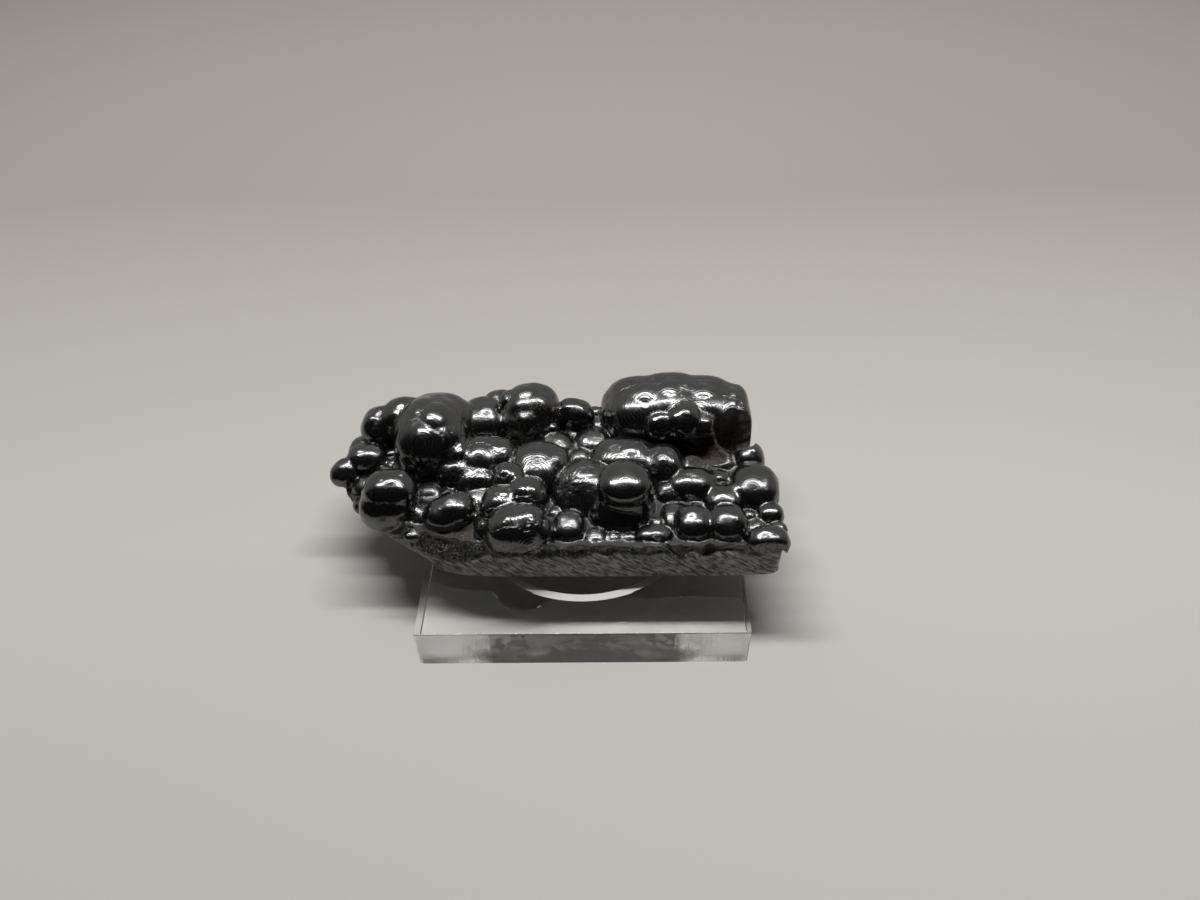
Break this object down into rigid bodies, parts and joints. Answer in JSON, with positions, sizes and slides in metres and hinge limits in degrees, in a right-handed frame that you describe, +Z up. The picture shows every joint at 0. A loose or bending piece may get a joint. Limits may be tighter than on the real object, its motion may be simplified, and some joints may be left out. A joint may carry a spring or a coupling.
{
  "type": "botryoidal hematite specimen on a clear display stand",
  "caption": "Glossy black botryoidal hematite specimen lying on a clear square slab stand with a round hollow in its top.",
  "frame": {"origin": "centre of the stand's flat underside", "axes": "+X along the specimen's length, the front break faces -Y, +Z up"},
  "size_m": [0.0947, 0.0636, 0.0267],
  "materials": {
    "clear_acrylic": "clear, polished",
    "hematite": "glossy black crust, matt dark grey breaks"
  },
  "bodies": {
    "root": {"acrylic_stand": "clear_acrylic", "hematite_specimen": "hematite"}
  },
  "joints": []
}
